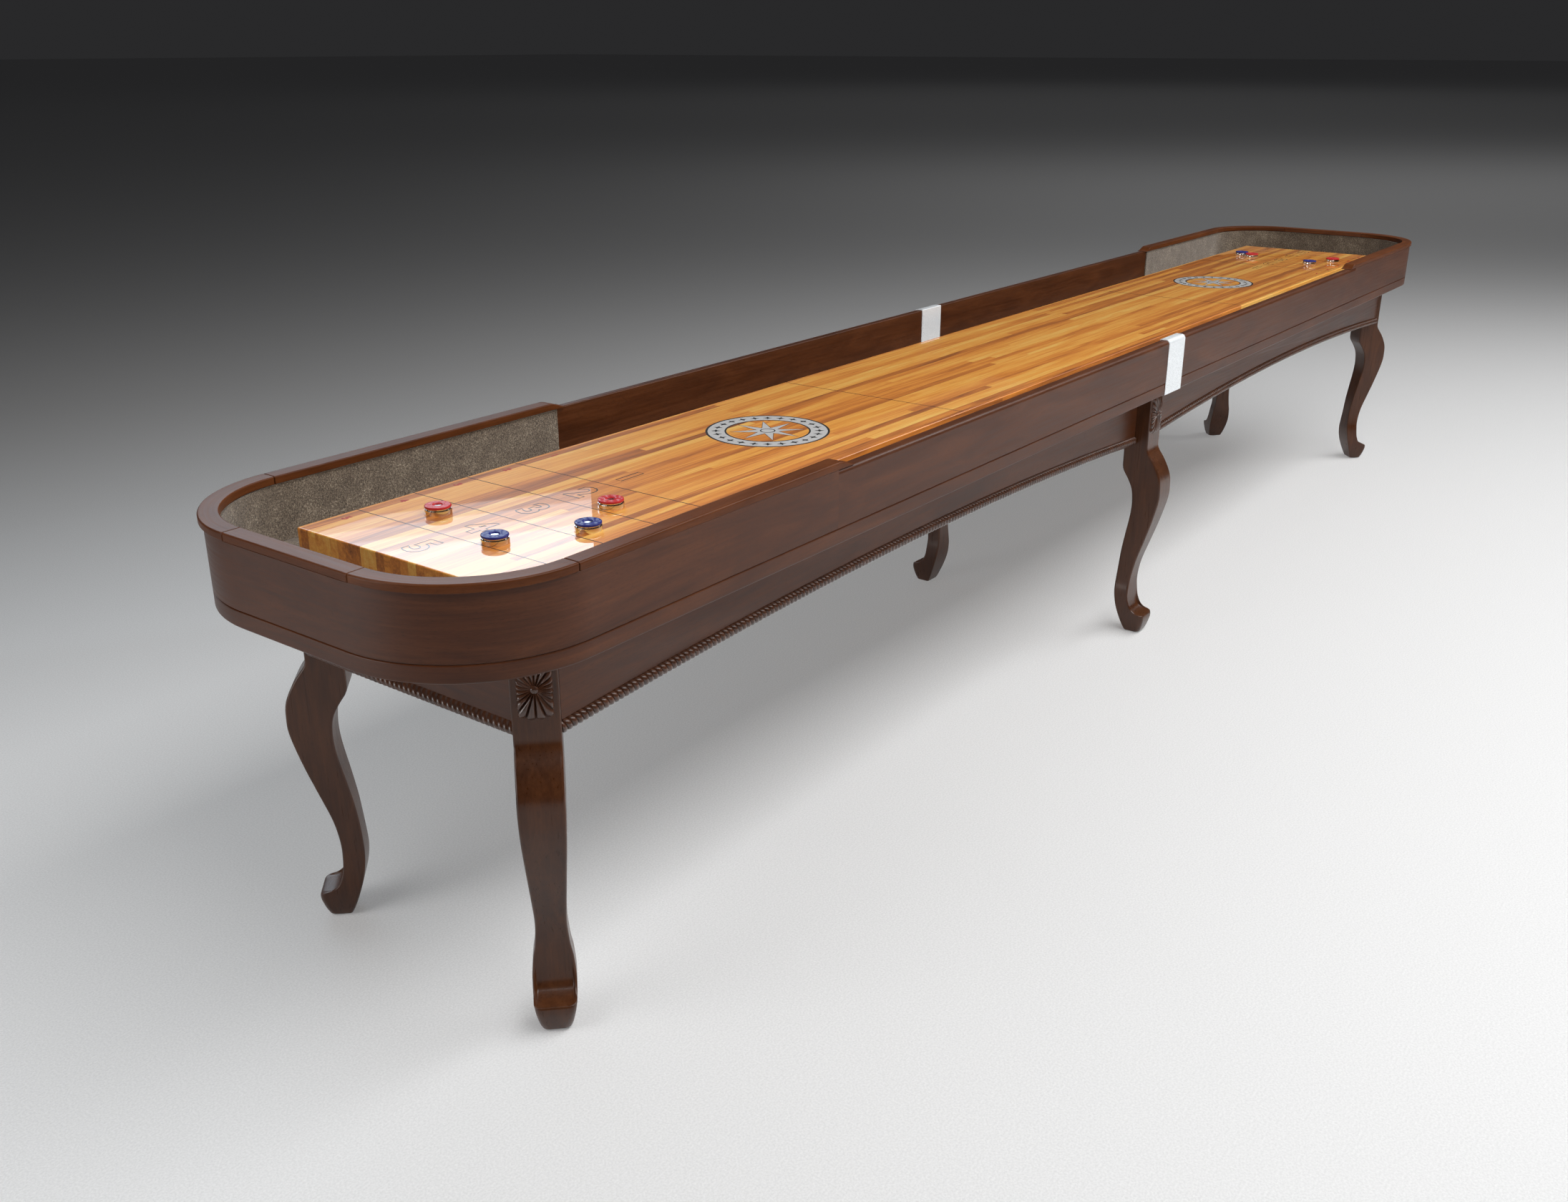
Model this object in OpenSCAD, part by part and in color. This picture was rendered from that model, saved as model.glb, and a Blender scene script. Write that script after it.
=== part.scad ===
/* [Cabinet] */
// Overall length of the cabinet
cab_l = 5130; // [5000:10:5300]
// Overall width of the cabinet
cab_w = 810; // [790:2:850]
// Thickness of the cabinet walls
wall_t = 25; // [24:1:28]
// Height of the low rails above the floor
rail_z = 875; // [870:1:885]
// Thickness of the caps on the raised ends
cap_t = 15; // [10:1:20]
// Width of the caps
cap_w = 36; // [32:1:40]
// Length of the raised part at each end
raised_l = 995; // [900:5:1100]
// Height of the platform's top above the floor
seam_z = 758; // [755:1:760]
// Thickness of the platform
base_t = 33; // [28:1:36]

/* [Playfield] */
// Length of the board
board_l = 4720; // [4600:10:4740]
// Width of the board
board_w = 520; // [508:2:530]
// Thickness of the board
board_t = 67; // [60:1:75]

/* [Pucks] */
// Diameter of a puck
puck_d = 50; // [46:1:54]
// Height of a puck
puck_h = 17; // [15:1:20]

/* [Frame and legs] */
// Length over the side aprons' outer corners
frame_l = 4720; // [4700:10:4740]
// Width over the aprons
frame_w = 650; // [640:2:660]
// Thickness of the aprons
apron_t = 30; // [25:1:32]
// Width of a leg post
post_w = 80; // [76:1:84]
// Depth of a leg post
post_d = 70; // [68:1:72]
// Diameter of the rope moulding
rope_d = 25; // [22:1:28]
// Rise of the side aprons' arch
arch_rise = 37; // [30:1:40]

/* [Leveling feet] */
// Diameter of a foot's pad
pad_d = 36; // [30:1:38]
// Thickness of a foot's pad
pad_t = 3; // [3:1:5]
// Diameter of a foot's stem
stem_d = 10; // [8:1:12]

/* [Hidden] */

half_l = cab_l / 2;
half_w = cab_w / 2;
wall_r = 265;                       // outer radius of the walls' corners
cap_r = 245;                        // outer radius of the corner caps
cap_x = half_l - cap_r;             // where the corner caps meet the side caps
cap_y = half_w - cap_r;             // where the corner caps meet the end caps
step_x = half_l - raised_l;         // tip of the ogee step on the side caps
ogee_l = 50;                        // length of the ogee
split_x = step_x + 55;              // joint between a low rail and an end wall
base_z = seam_z - base_t;
groove = 2;                         // height of the shadow groove at the seam
groove_in = 3;                      // depth of the groove
board_z = seam_z + board_t;
carpet_t = 5;
band_w = 108;                       // width of the centre bands
band_t = 2;

frame_x = frame_l / 2;
frame_y = frame_w / 2;
post_out = 19;                      // how far a corner post's face is from the frame's corner
post_proud = 40;                    // how far a middle post stands out of the apron
corner_post_x = frame_x - post_out - 1;
corner_post_y = frame_y - post_out;
side_rope_z = 580;                  // centre of the side rope at the legs
end_rope_z = 583;                   // centre of the end rope
rope_y = frame_y - 4;
rope_x = frame_x - 4;
mid_x = post_w / 2;                 // where the aprons meet the middle posts
bay_end = 2290;
bay_mid = (mid_x + bay_end) / 2;
bay_half = (bay_end - mid_x) / 2;
arch_r = (bay_half * bay_half + arch_rise * arch_rise) / (2 * arch_rise);
arch_z = side_rope_z + arch_rise - arch_r;

bolt_r = 4;
fit = 0.05;                         // radial clearance of a stem in its bore
loose = 0.5;                        // radial clearance of a bolt in a plain hole
seat_gap = 0.5;                     // glue line between an apron and its rope, and behind a post
// x + y along the back face of a corner post
block_sum = corner_post_x + corner_post_y - (post_d + seat_gap) * sqrt(2);
block_t = 45;
puck_gap = 0.2;                     // film of powder under a puck
weight_h = 12;                      // height of a puck's steel body
foot_u = -4;                        // centre of the foot's underside behind the post's face

// [x, y] of each puck: four at the near end, four at the far end
PUCKS = [
    [-2154, 121], [-2206, -87], [-2060, -168], [-1937, -107],
    [2052, 165], [2021, 113], [1960, -136], [2078, -188]
];
// [x, y, angle] of the front face of each leg post
LEGS = [
    [-corner_post_x, -corner_post_y, 225], [-corner_post_x, corner_post_y, 135],
    [0, -frame_y - post_proud, 270], [0, frame_y + post_proud, 90],
    [corner_post_x, -corner_post_y, 315], [corner_post_x, corner_post_y, 45]
];
BEAM_X = [-2100, -1500, -900, -300, 300, 900, 1500, 2100];
ADJUSTER_X = [-1800, -1200, -600, 600, 1200, 1800];

// Outline of a cabriole leg: [distance from the post's face, height], foot upwards
FRONT = [
    [18, 3], [25, 20], [31, 44], [30, 56], [24, 60], [6, 65], [-7, 75], [-14, 88], [-19, 105],
    [-21, 135],
    [-19, 170], [-9, 220], [10, 280], [30, 345], [46, 410], [48, 445], [44, 480],
    [25, 520], [3, 551], [0, 568]
];
BACK = [
    [-26, 3], [-34, 20], [-46, 51], [-58, 90], [-64, 130], [-63, 175], [-57, 240],
    [-47, 300], [-36, 360], [-33, 400], [-37, 438], [-50, 466], [-66, 490], [-70, 505]
];
// Half-width of a leg: [half-width, height], foot upwards
HALF = [
    [26, 3], [32, 25], [38, 60], [39, 90], [36, 125], [31, 155], [28, 200], [30, 250],
    [34, 320], [38, 390], [40, 450]
];

// A smooth curve through a list of points
function spline(p, q, r, s, t) =
    0.5 * (2 * q + (r - p) * t + (2 * p - 5 * q + 4 * r - s) * t * t
    + (3 * q - p - 3 * r + s) * t * t * t);
function curve(pts, steps = 3) = [
    for (i = [0 : len(pts) - 2], k = [0 : steps - 1])
        spline(pts[max(i - 1, 0)], pts[i], pts[i + 1], pts[min(i + 2, len(pts) - 1)], k / steps),
    pts[len(pts) - 1]
];
function reversed(pts) = [for (i = [len(pts) - 1 : -1 : 0]) pts[i]];

// Plan of one end of the cabinet, from x = x0 outwards, inset by d
module end_plan(x0, d = 0) {
    r = wall_r - d;
    cx = half_l - wall_r;
    cy = half_w - wall_r;
    translate([x0, -half_w + d]) square([cx - x0, cab_w - 2 * d]);
    translate([cx - 1, -cy]) square([half_l - d - cx + 1, 2 * cy]);
    for (s = [-1, 1]) translate([cx, s * cy]) circle(r, $fn = 180);
}

// Cross-section of a rail, y outwards, with its top edges rounded
module rail_section(y0, y1, z0, z1, r_in, r_out) {
    translate([y0, z0]) square([y1 - y0, z1 - z0 - r_out]);
    translate([y0 + r_in, z0]) square([y1 - y0 - r_in - r_out, z1 - z0]);
    translate([y1 - r_out, z1 - r_out]) circle(r_out, $fn = 72);
    translate([y0, z0]) square([y1 - y0 - r_out, z1 - z0 - r_in]);
    translate([y0 + r_in, z1 - r_in]) circle(r_in, $fn = 48);
}

// Runs a y-z section along x
module along_x(x0, x1) {
    translate([x0, 0, 0]) rotate([90, 0, 90]) linear_extrude(x1 - x0) children();
}

module at_leg(i) {
    translate([LEGS[i][0], LEGS[i][1], 0]) rotate([0, 0, LEGS[i][2]]) children();
}

module playfield() color("#d2914f") difference() {
    along_x(-board_l / 2, board_l / 2)
        for (s = [0, 1]) mirror([s, 0])
            rail_section(-1, board_w / 2, seam_z, board_z, 0.5, 3);
    for (x = ADJUSTER_X, s = [-1, 1])
        translate([x, s * 160, seam_z - 1]) cylinder(h = 31, r = bolt_r + fit, $fn = 48);
}

// A low rail, from the table's centre to the end wall
module low_rail(sx, sy) color("#553f38")
    mirror([sx < 0 ? 1 : 0, 0, 0]) mirror([0, sy < 0 ? 1 : 0, 0]) along_x(0, split_x)
        rail_section(half_w - wall_t, half_w, seam_z, rail_z, 3, 10);

module end_wall(sx) color("#523c36") mirror([sx < 0 ? 1 : 0, 0, 0])
    translate([0, 0, seam_z]) linear_extrude(rail_z - seam_z) difference() {
        end_plan(split_x);
        end_plan(split_x - 1, wall_t);
    }

// Section of a cap, u outwards from the cap's inner edge
module cap_section(u1) {
    translate([u1 - cap_w, rail_z]) square([cap_w, cap_t - 4]);
    translate([u1 - cap_w + 3, rail_z]) square([cap_w - 7, cap_t]);
    translate([u1 - cap_w + 3, rail_z + cap_t - 3]) circle(3, $fn = 48);
    translate([u1 - cap_w, rail_z]) square([cap_w - 4, cap_t - 3]);
    translate([u1 - 4, rail_z + cap_t - 4]) circle(4, $fn = 48);
}

module corner_caps() color("#644640")
    for (sx = [0, 1], sy = [0, 1]) mirror([sx, 0, 0]) mirror([0, sy, 0])
        translate([cap_x, cap_y, 0]) rotate_extrude(angle = 90, $fn = 180) cap_section(cap_r);

module side_caps() color("#644640")
    for (sx = [0, 1], sy = [0, 1]) mirror([sx, 0, 0]) mirror([0, sy, 0]) intersection() {
        along_x(step_x, cap_x) cap_section(half_w);
        translate([0, half_w + 1, 0]) rotate([90, 0, 0]) linear_extrude(cap_w + 2)
            polygon(concat(
                [[cap_x + 1, rail_z - 1], [cap_x + 1, rail_z + cap_t + 1]],
                [for (k = [0 : 16])
                    [step_x + ogee_l * (1 - k / 16),
                     rail_z + 1 + (cap_t - 1) * (1 + cos(180 * k / 16)) / 2]],
                [[step_x, rail_z - 1]]
            ));
    }

module end_caps() color("#644640")
    for (sx = [0, 1]) mirror([sx, 0, 0]) rotate([90, 0, 0]) translate([0, 0, -cap_y])
        linear_extrude(2 * cap_y) cap_section(half_l);

module base_half(sx) color("#5c4842") mirror([sx < 0 ? 1 : 0, 0, 0]) difference() {
    union() {
        translate([0, 0, base_z]) linear_extrude(base_t - groove) end_plan(0);
        translate([0, 0, seam_z - groove - 1]) linear_extrude(groove + 1) end_plan(0, groove_in);
    }
    for (x = ADJUSTER_X, s = [-1, 1]) if (x > 0)
        translate([x, s * 160, base_z - 1])
            cylinder(h = base_t + 2, r = bolt_r + loose, $fn = 48);
    for (y = [-150, 150], dx = [40, 100])
        translate([dx, y, base_z - 1]) cylinder(h = 25, r = bolt_r + fit, $fn = 48);
}

module wall_carpet(sx) color("#645648") mirror([sx < 0 ? 1 : 0, 0, 0])
    translate([0, 0, seam_z + carpet_t]) linear_extrude(rail_z - seam_z - carpet_t - 3)
        difference() {
            end_plan(step_x + 24, wall_t);
            end_plan(step_x + 23, wall_t + carpet_t);
        }

module gutter_carpet() color("#5f5245")
    translate([0, 0, seam_z]) linear_extrude(carpet_t) difference() {
        for (s = [0, 1]) mirror([s, 0]) end_plan(-1, wall_t);
        square([board_l, board_w], center = true);
    }

module centre_bands() color("#d8d8da")
    for (s = [0, 1]) mirror([0, s, 0]) along_x(-band_w / 2, band_w / 2) difference() {
        union() {
            rail_section(half_w - wall_t - band_t, half_w + band_t, seam_z + carpet_t,
                rail_z + band_t, 5, 12);
            translate([half_w, base_z]) square([band_t, rail_z - base_z - 12]);
        }
        rail_section(half_w - wall_t, half_w, base_z, rail_z, 3, 10);
    }

// A side apron, mitred against the corner post and arched over its rope moulding
module side_apron(sx, sy) color("#5c4842")
    mirror([sx < 0 ? 1 : 0, 0, 0]) mirror([0, sy < 0 ? 1 : 0, 0]) difference() {
        translate([0, 0, side_rope_z]) linear_extrude(base_z - side_rope_z) polygon([
            [mid_x, frame_y - apron_t], [miter_x(frame_y - apron_t), frame_y - apron_t],
            [miter_x(frame_y), frame_y], [mid_x, frame_y]
        ]);
        translate([bay_mid, frame_y + 1, arch_z]) rotate([90, 0, 0]) rotate([0, 0, 85])
            rotate_extrude(angle = 10, $fn = 1440) translate([arch_r - 60, 0])
                square([60 + rope_d / 2 + seat_gap, apron_t + 2]);
    }

// Where a corner post's side face crosses the line at y, for the side and the end apron
function miter_x(y) = corner_post_x - corner_post_y - post_w * sqrt(0.5) + y;
function miter_y(x) = x - (corner_post_x - corner_post_y + post_w * sqrt(0.5));

module end_apron(sx) color("#5c4842") mirror([sx < 0 ? 1 : 0, 0, 0])
    translate([0, 0, end_rope_z + rope_d / 2 + seat_gap])
        linear_extrude(base_z - end_rope_z - rope_d / 2 - seat_gap) polygon([
            [frame_x - apron_t, -miter_y(frame_x - apron_t)], [frame_x, -miter_y(frame_x)],
            [frame_x, miter_y(frame_x)], [frame_x - apron_t, miter_y(frame_x - apron_t)]
        ]);

module side_rope_mouldings() color("#4a2f26")
    for (sx = [0, 1], sy = [0, 1]) mirror([sx, 0, 0]) mirror([0, sy, 0]) intersection() {
        translate([bay_mid, rope_y, arch_z]) rotate([90, 0, 0]) rotate([0, 0, 85])
            rotate_extrude(angle = 10, $fn = 1440) translate([arch_r, 0]) circle(rope_d / 2, $fn = 48);
        translate([0, 0, 500]) linear_extrude(200) polygon([
            [mid_x, frame_y - apron_t], [miter_x(frame_y - apron_t), frame_y - apron_t],
            [miter_x(frame_y + 20), frame_y + 20], [mid_x, frame_y + 20]
        ]);
    }

module end_rope_mouldings() color("#4a2f26")
    for (sx = [0, 1]) mirror([sx, 0, 0]) intersection() {
        translate([rope_x, 0, end_rope_z]) rotate([90, 0, 0])
            cylinder(h = 2 * frame_y, r = rope_d / 2, center = true, $fn = 48);
        translate([0, 0, 500]) linear_extrude(200) polygon([
            [frame_x - apron_t, -miter_y(frame_x - apron_t)],
            [frame_x + 20, -miter_y(frame_x + 20)],
            [frame_x + 20, miter_y(frame_x + 20)],
            [frame_x - apron_t, miter_y(frame_x - apron_t)]
        ]);
    }

// A cabriole leg with its square post, a bore for the foot's stem and two bolt holes
module leg(i) color("#4c352d") at_leg(i) difference() {
    intersection() {
        translate([0, post_w / 2, 0]) rotate([90, 0, 0]) linear_extrude(post_w)
            polygon(concat(curve(FRONT), [[0, base_z], [-post_d, base_z]], reversed(curve(BACK))));
        translate([-200, 0, 0]) rotate([90, 0, 90]) linear_extrude(400)
            polygon(concat(
                curve(HALF), [[post_w / 2, base_z], [-post_w / 2, base_z]],
                [for (p = reversed(curve(HALF))) [-p[0], p[1]]]
            ));
    }
    translate([foot_u, 0, -1]) cylinder(h = 46, r = stem_d / 2 + fit, $fn = 48);
    for (z = [630, 690]) translate([-post_d - 1, 0, z]) rotate([0, 90, 0])
        cylinder(h = 41, r = bolt_r + fit, $fn = 48);
}

module rosettes() color("#6a4a3c")
    for (i = [0 : 5]) at_leg(i) translate([0, 0, 657]) rotate([90, 0, 90]) intersection() {
        translate([-30, -55]) cube([60, 110, 9]);
        union() {
            translate([-30, -55]) cube([60, 110, 3]);
            cylinder(h = 8, r = 8, $fn = 36);
            linear_extrude(6) polygon([
                for (k = [0 : 39]) (k % 2 == 0 ? 62 : 20) * [sin(9 * k), cos(9 * k)]
            ]);
        }
    }

module leveler(i) color("#8a8a8c") at_leg(i) translate([foot_u, 0, 0]) {
    cylinder(h = pad_t, r = pad_d / 2, $fn = 72);
    cylinder(h = 43, r = stem_d / 2, $fn = 48);
}

module puck_weight(i) color("#b9b6b0") translate([PUCKS[i][0], PUCKS[i][1], board_z + puck_gap])
    rotate_extrude($fn = 96) polygon([
        [0, 1], [puck_d / 2 - 6, 1], [puck_d / 2 - 5, 0], [puck_d / 2 - 1, 0], [puck_d / 2, 1],
        [puck_d / 2, weight_h - 1], [puck_d / 2 - 1, weight_h], [8, weight_h],
        [8, weight_h + 3], [0, weight_h + 3]
    ]);

module puck_cap(i) color(i == 0 || i == 3 || i == 5 || i == 7 ? "#b5222a" : "#20205e")
    translate([PUCKS[i][0], PUCKS[i][1], board_z + puck_gap + weight_h])
        rotate_extrude($fn = 96) polygon([
            [8, 0], [puck_d / 2 - 0.5, 0], [puck_d / 2 - 0.5, puck_h - weight_h - 1],
            [puck_d / 2 - 1.5, puck_h - weight_h], [11, puck_h - weight_h],
            [8, puck_h - weight_h - 1]
        ]);

module cradle_beams() color("#a07a50")
    for (x = BEAM_X) translate([x - 30, -frame_y + apron_t, base_z - 45])
        cube([60, frame_w - 2 * apron_t, 45]);

// A steel channel under the platform with two clearance holes
module climatic_adjusters() color("#6a6e72")
    for (x = ADJUSTER_X) difference() {
        translate([x, 0, 0]) rotate([90, 0, 0]) linear_extrude(400, center = true)
            polygon([
                [-25, base_z], [-25, base_z - 25], [-20, base_z - 25], [-20, base_z - 5],
                [20, base_z - 5], [20, base_z - 25], [25, base_z - 25], [25, base_z]
            ]);
        for (y = [-160, 160]) translate([x, y, base_z - 6])
            cylinder(h = 8, r = bolt_r + loose, $fn = 48);
    }

module hex_bolt(l, r = bolt_r) {
    cylinder(h = l, r = r, $fn = 48);
    translate([0, 0, -5]) cylinder(h = 5, r = 1.8 * r, $fn = 6);
}

module adjuster_bolts() color("#9a9a9c")
    for (x = ADJUSTER_X, s = [-1, 1]) translate([x, s * 160, base_z - 5])
        hex_bolt(seam_z + 25 - base_z + 5);

// Corner blocks stand a glue line off their posts; middle blocks lie against the aprons
function block_gap(i) = i == 2 || i == 3 ? 0 : seat_gap;

// Blocks glued into the frame behind the posts, drilled for the leg bolts
module leg_blocks() color("#a07a50") for (i = [0 : 5]) difference() {
    translate([0, 0, 600]) linear_extrude(110) if (i == 2 || i == 3)
        translate([-100, i == 2 ? -frame_y + apron_t : frame_y - apron_t - block_t])
            square([200, block_t]);
    else
        mirror([i < 2 ? 1 : 0, 0]) mirror([0, i % 2 == 0 ? 1 : 0])
            polygon([
                [block_sum - frame_y + apron_t, frame_y - apron_t],
                [frame_x - apron_t, block_sum - frame_x + apron_t],
                [frame_x - apron_t, block_sum - block_t * sqrt(2) - frame_x + apron_t],
                [block_sum - block_t * sqrt(2) - frame_y + apron_t, frame_y - apron_t]
            ]);
    at_leg(i) for (z = [630, 690]) translate([-post_d - block_t - 1, 0, z]) rotate([0, 90, 0])
        cylinder(h = block_t + 2, r = bolt_r + loose, $fn = 48);
}

module leg_bolts() color("#9a9a9c")
    for (i = [0 : 5]) at_leg(i) for (z = [630, 690])
        translate([-post_d - block_gap(i) - block_t, 0, z]) rotate([0, 90, 0])
            hex_bolt(block_t + 35);

module joint_plates() color("#6a6e72")
    for (y = [-150, 150]) difference() {
        translate([-125, y - 40, base_z - 6]) cube([250, 80, 6]);
        for (dx = [-100, -40, 40, 100]) translate([dx, y, base_z - 7])
            cylinder(h = 8, r = bolt_r + loose, $fn = 48);
    }

module joint_bolts() color("#9a9a9c")
    for (y = [-150, 150], dx = [-100, -40, 40, 100]) translate([dx, y, base_z - 6])
        hex_bolt(26);

playfield();
low_rail(-1, -1);  // low_rail_near_right
low_rail(-1, 1);  // low_rail_near_left
low_rail(1, -1);  // low_rail_far_right
low_rail(1, 1);  // low_rail_far_left
end_wall(-1);  // end_wall_near
end_wall(1);  // end_wall_far
corner_caps();
side_caps();
end_caps();
base_half(-1);  // base_near
base_half(1);  // base_far
wall_carpet(-1);  // wall_carpet_near
wall_carpet(1);  // wall_carpet_far
gutter_carpet();
centre_bands();
side_apron(-1, -1);  // side_apron_near_right
side_apron(-1, 1);  // side_apron_near_left
side_apron(1, -1);  // side_apron_far_right
side_apron(1, 1);  // side_apron_far_left
end_apron(-1);  // end_apron_near
end_apron(1);  // end_apron_far
side_rope_mouldings();
end_rope_mouldings();
leg(0);  // leg_near_right
leg(1);  // leg_near_left
leg(2);  // leg_mid_right
leg(3);  // leg_mid_left
leg(4);  // leg_far_right
leg(5);  // leg_far_left
rosettes();
leveler(0);  // leveler_near_right
leveler(1);  // leveler_near_left
leveler(2);  // leveler_mid_right
leveler(3);  // leveler_mid_left
leveler(4);  // leveler_far_right
leveler(5);  // leveler_far_left
for (i = [0 : 7]) puck_weight(i);
for (i = [0 : 7]) puck_cap(i);
cradle_beams();
climatic_adjusters();
adjuster_bolts();
leg_blocks();
leg_bolts();
joint_plates();
joint_bolts();
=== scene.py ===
import math

import bmesh
import bpy
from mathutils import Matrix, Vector, noise


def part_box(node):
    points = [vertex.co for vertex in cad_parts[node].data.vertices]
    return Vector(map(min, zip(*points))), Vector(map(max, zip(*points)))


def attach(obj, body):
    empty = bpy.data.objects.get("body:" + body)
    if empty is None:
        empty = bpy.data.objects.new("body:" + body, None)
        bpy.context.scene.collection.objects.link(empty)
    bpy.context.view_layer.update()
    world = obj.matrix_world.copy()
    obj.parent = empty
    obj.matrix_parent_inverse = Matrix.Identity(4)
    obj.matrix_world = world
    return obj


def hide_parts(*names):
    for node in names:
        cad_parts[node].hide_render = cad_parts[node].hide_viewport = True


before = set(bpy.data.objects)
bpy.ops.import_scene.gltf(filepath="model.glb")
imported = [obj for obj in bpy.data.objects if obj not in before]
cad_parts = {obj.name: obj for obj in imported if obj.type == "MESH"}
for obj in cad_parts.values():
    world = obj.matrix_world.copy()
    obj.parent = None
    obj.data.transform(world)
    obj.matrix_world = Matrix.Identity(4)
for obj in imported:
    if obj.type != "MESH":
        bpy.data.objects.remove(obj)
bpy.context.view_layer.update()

# ---------------------------------------------------------------------------
# Sizes in millimetres: outer sizes are read from the frame, the rest are set here
# ---------------------------------------------------------------------------
MM = 0.001
X, Y, Z = 0, 1, 2


def low(node, axis):
    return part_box(node)[0][axis] / MM


def high(node, axis):
    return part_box(node)[1][axis] / MM


HALF_L = high("end_wall_far", X)
HALF_W = high("end_wall_far", Y)
SEAM_Z = low("end_wall_far", Z)
RAIL_Z = high("low_rail_far_left", Z)
CAP_Z = high("corner_caps", Z)
BASE_Z = low("base_far", Z)
WALL_T = HALF_W - low("low_rail_far_left", Y)
SPLIT_X = low("end_wall_far", X)
STEP_X = SPLIT_X - 55   # tip of the ogee step on the side caps
CARPET_X = low("wall_carpet_far", X)
CAP_Y = high("end_caps", Y)
CAP_R = HALF_W - CAP_Y
CAP_X = HALF_L - CAP_R
CAP_W = 36
WALL_R = 265            # outer radius of the walls' corners
BOARD_X = high("playfield", X)
BOARD_Y = high("playfield", Y)
BOARD_Z = high("playfield", Z)
CARPET_T = high("gutter_carpet", Z) - SEAM_Z
BAND_X = high("centre_bands", X)
FRAME_Y = high("side_apron_far_left", Y)
ROPE_R = (high("end_rope_mouldings", Z) - low("end_rope_mouldings", Z)) / 2
ROPE_X = high("end_rope_mouldings", X) - ROPE_R
ROPE_Y = high("side_rope_mouldings", Y) - ROPE_R
END_ROPE_Z = low("end_rope_mouldings", Z) + ROPE_R
SIDE_ROPE_Z = 580       # centre of the side rope at the legs
ARCH_RISE = 37          # rise of the side ropes at the middle of a bay
POST_W = high("leg_mid_left", X) - low("leg_mid_left", X)
POST_X = 2340           # centre of a corner post's front face
POST_Y = 306
MID_Y = FRAME_Y + 40    # front face of a middle post
FOOT_Z = low("leg_mid_left", Z)
# x, y and angle of each leg post's front face
LEGS = {
    "near_right": (-POST_X, -POST_Y, 225),
    "near_left": (-POST_X, POST_Y, 135),
    "mid_right": (0, -MID_Y, 270),
    "mid_left": (0, MID_Y, 90),
    "far_right": (POST_X, -POST_Y, 315),
    "far_left": (POST_X, POST_Y, 45),
}
PUCK_NUMBERS = range(1, 9)
RED_PUCKS = (1, 4, 6, 8)


# ---------------------------------------------------------------------------
# Node materials
# ---------------------------------------------------------------------------
class Nodes:
    """A short way to build one material's node tree."""

    def __init__(self, name):
        self.mat = bpy.data.materials.new(name)
        self.mat.use_nodes = True
        self.tree = self.mat.node_tree
        self.shader = self.tree.nodes["Principled BSDF"]

    def add(self, kind, links=None, **values):
        node = self.tree.nodes.new(kind)
        for key, value in values.items():
            setattr(node, key, value)
        for key, value in (links or {}).items():
            self.put(node.inputs[key], value)
        return node

    def put(self, socket, value):
        if isinstance(value, bpy.types.NodeSocket):
            self.tree.links.new(value, socket)
        else:
            socket.default_value = value

    def set(self, **values):
        for key, value in values.items():
            self.put(self.shader.inputs[key.replace("_", " ")], value)

    def math(self, operation, a, b=0.0):
        return self.add("ShaderNodeMath", {0: a, 1: b}, operation=operation).outputs[0]

    def mix(self, factor, a, b):
        node = self.add("ShaderNodeMix", data_type="RGBA")
        self.put(node.inputs[0], factor)
        self.put(node.inputs[6], a)
        self.put(node.inputs[7], b)
        return node.outputs[2]

    def ramp(self, value, *stops):
        node = self.add("ShaderNodeValToRGB", {"Fac": value})
        elements = node.color_ramp.elements
        while len(elements) < len(stops):
            elements.new(0.5)
        for element, (place, colour) in zip(elements, stops):
            element.position = place
            element.color = (*colour, 1)
        return node.outputs["Color"]

    def level(self, value, a, b, to_a=0.0, to_b=1.0):
        """Maps a..b onto to_a..to_b."""
        node = self.add("ShaderNodeMapRange", {
            "Value": value, "From Min": a, "From Max": b, "To Min": to_a, "To Max": to_b})
        return node.outputs["Result"]

    def grain(self):
        return self.add("ShaderNodeAttribute", attribute_name="grain").outputs["Vector"]

    def place(self):
        return self.add("ShaderNodeTexCoord").outputs["Object"]

    def stretch(self, vector, scale):
        return self.add("ShaderNodeMapping", {"Vector": vector, "Scale": scale}).outputs[0]

    def noise(self, vector, scale, detail=2.0, rough=0.5, distortion=0.0):
        return self.add("ShaderNodeTexNoise", {
            "Vector": vector, "Scale": scale, "Detail": detail, "Roughness": rough,
            "Distortion": distortion}).outputs["Fac"]

    def bump(self, height, strength, distance):
        node = self.add("ShaderNodeBump", {
            "Height": height, "Strength": strength, "Distance": distance * MM})
        self.put(self.shader.inputs["Normal"], node.outputs[0])


def walnut(name, dark, mid, light, rough=0.38, coat=0.10, gloss=0.24, figure=1.0):
    """Stained wood under satin lacquer: cloudy figure, fine streaks and short pores."""
    n = Nodes(name)
    grain = n.grain()
    cloud = n.noise(n.stretch(grain, (1.6, 9, 9)), 2.2 * figure, 5, 0.55, 1.2)
    streak = n.noise(n.stretch(grain, (4, 210, 210)), 1.0, 3, 0.6)
    pore = n.noise(n.stretch(grain, (80, 900, 900)), 1.0, 2, 0.5)
    tone = n.math("ADD", n.math("MULTIPLY", cloud, 0.62), n.math("MULTIPLY", streak, 0.38))
    colour = n.ramp(tone, (0.27, dark), (0.50, mid), (0.73, light))
    pores = n.level(pore, 0.58, 0.68)
    colour = n.mix(n.math("MULTIPLY", pores, 0.6), colour, (*dark, 1))
    n.set(Base_Color=colour, Coat_Weight=coat, Coat_Roughness=0.22, Coat_IOR=1.5,
          Specular_IOR_Level=gloss)
    n.set(Roughness=n.level(streak, 0.3, 0.7, rough - 0.05, rough + 0.07))
    n.bump(n.math("SUBTRACT", 1.0, pores), 0.25, 0.15)
    return n.mat


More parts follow.
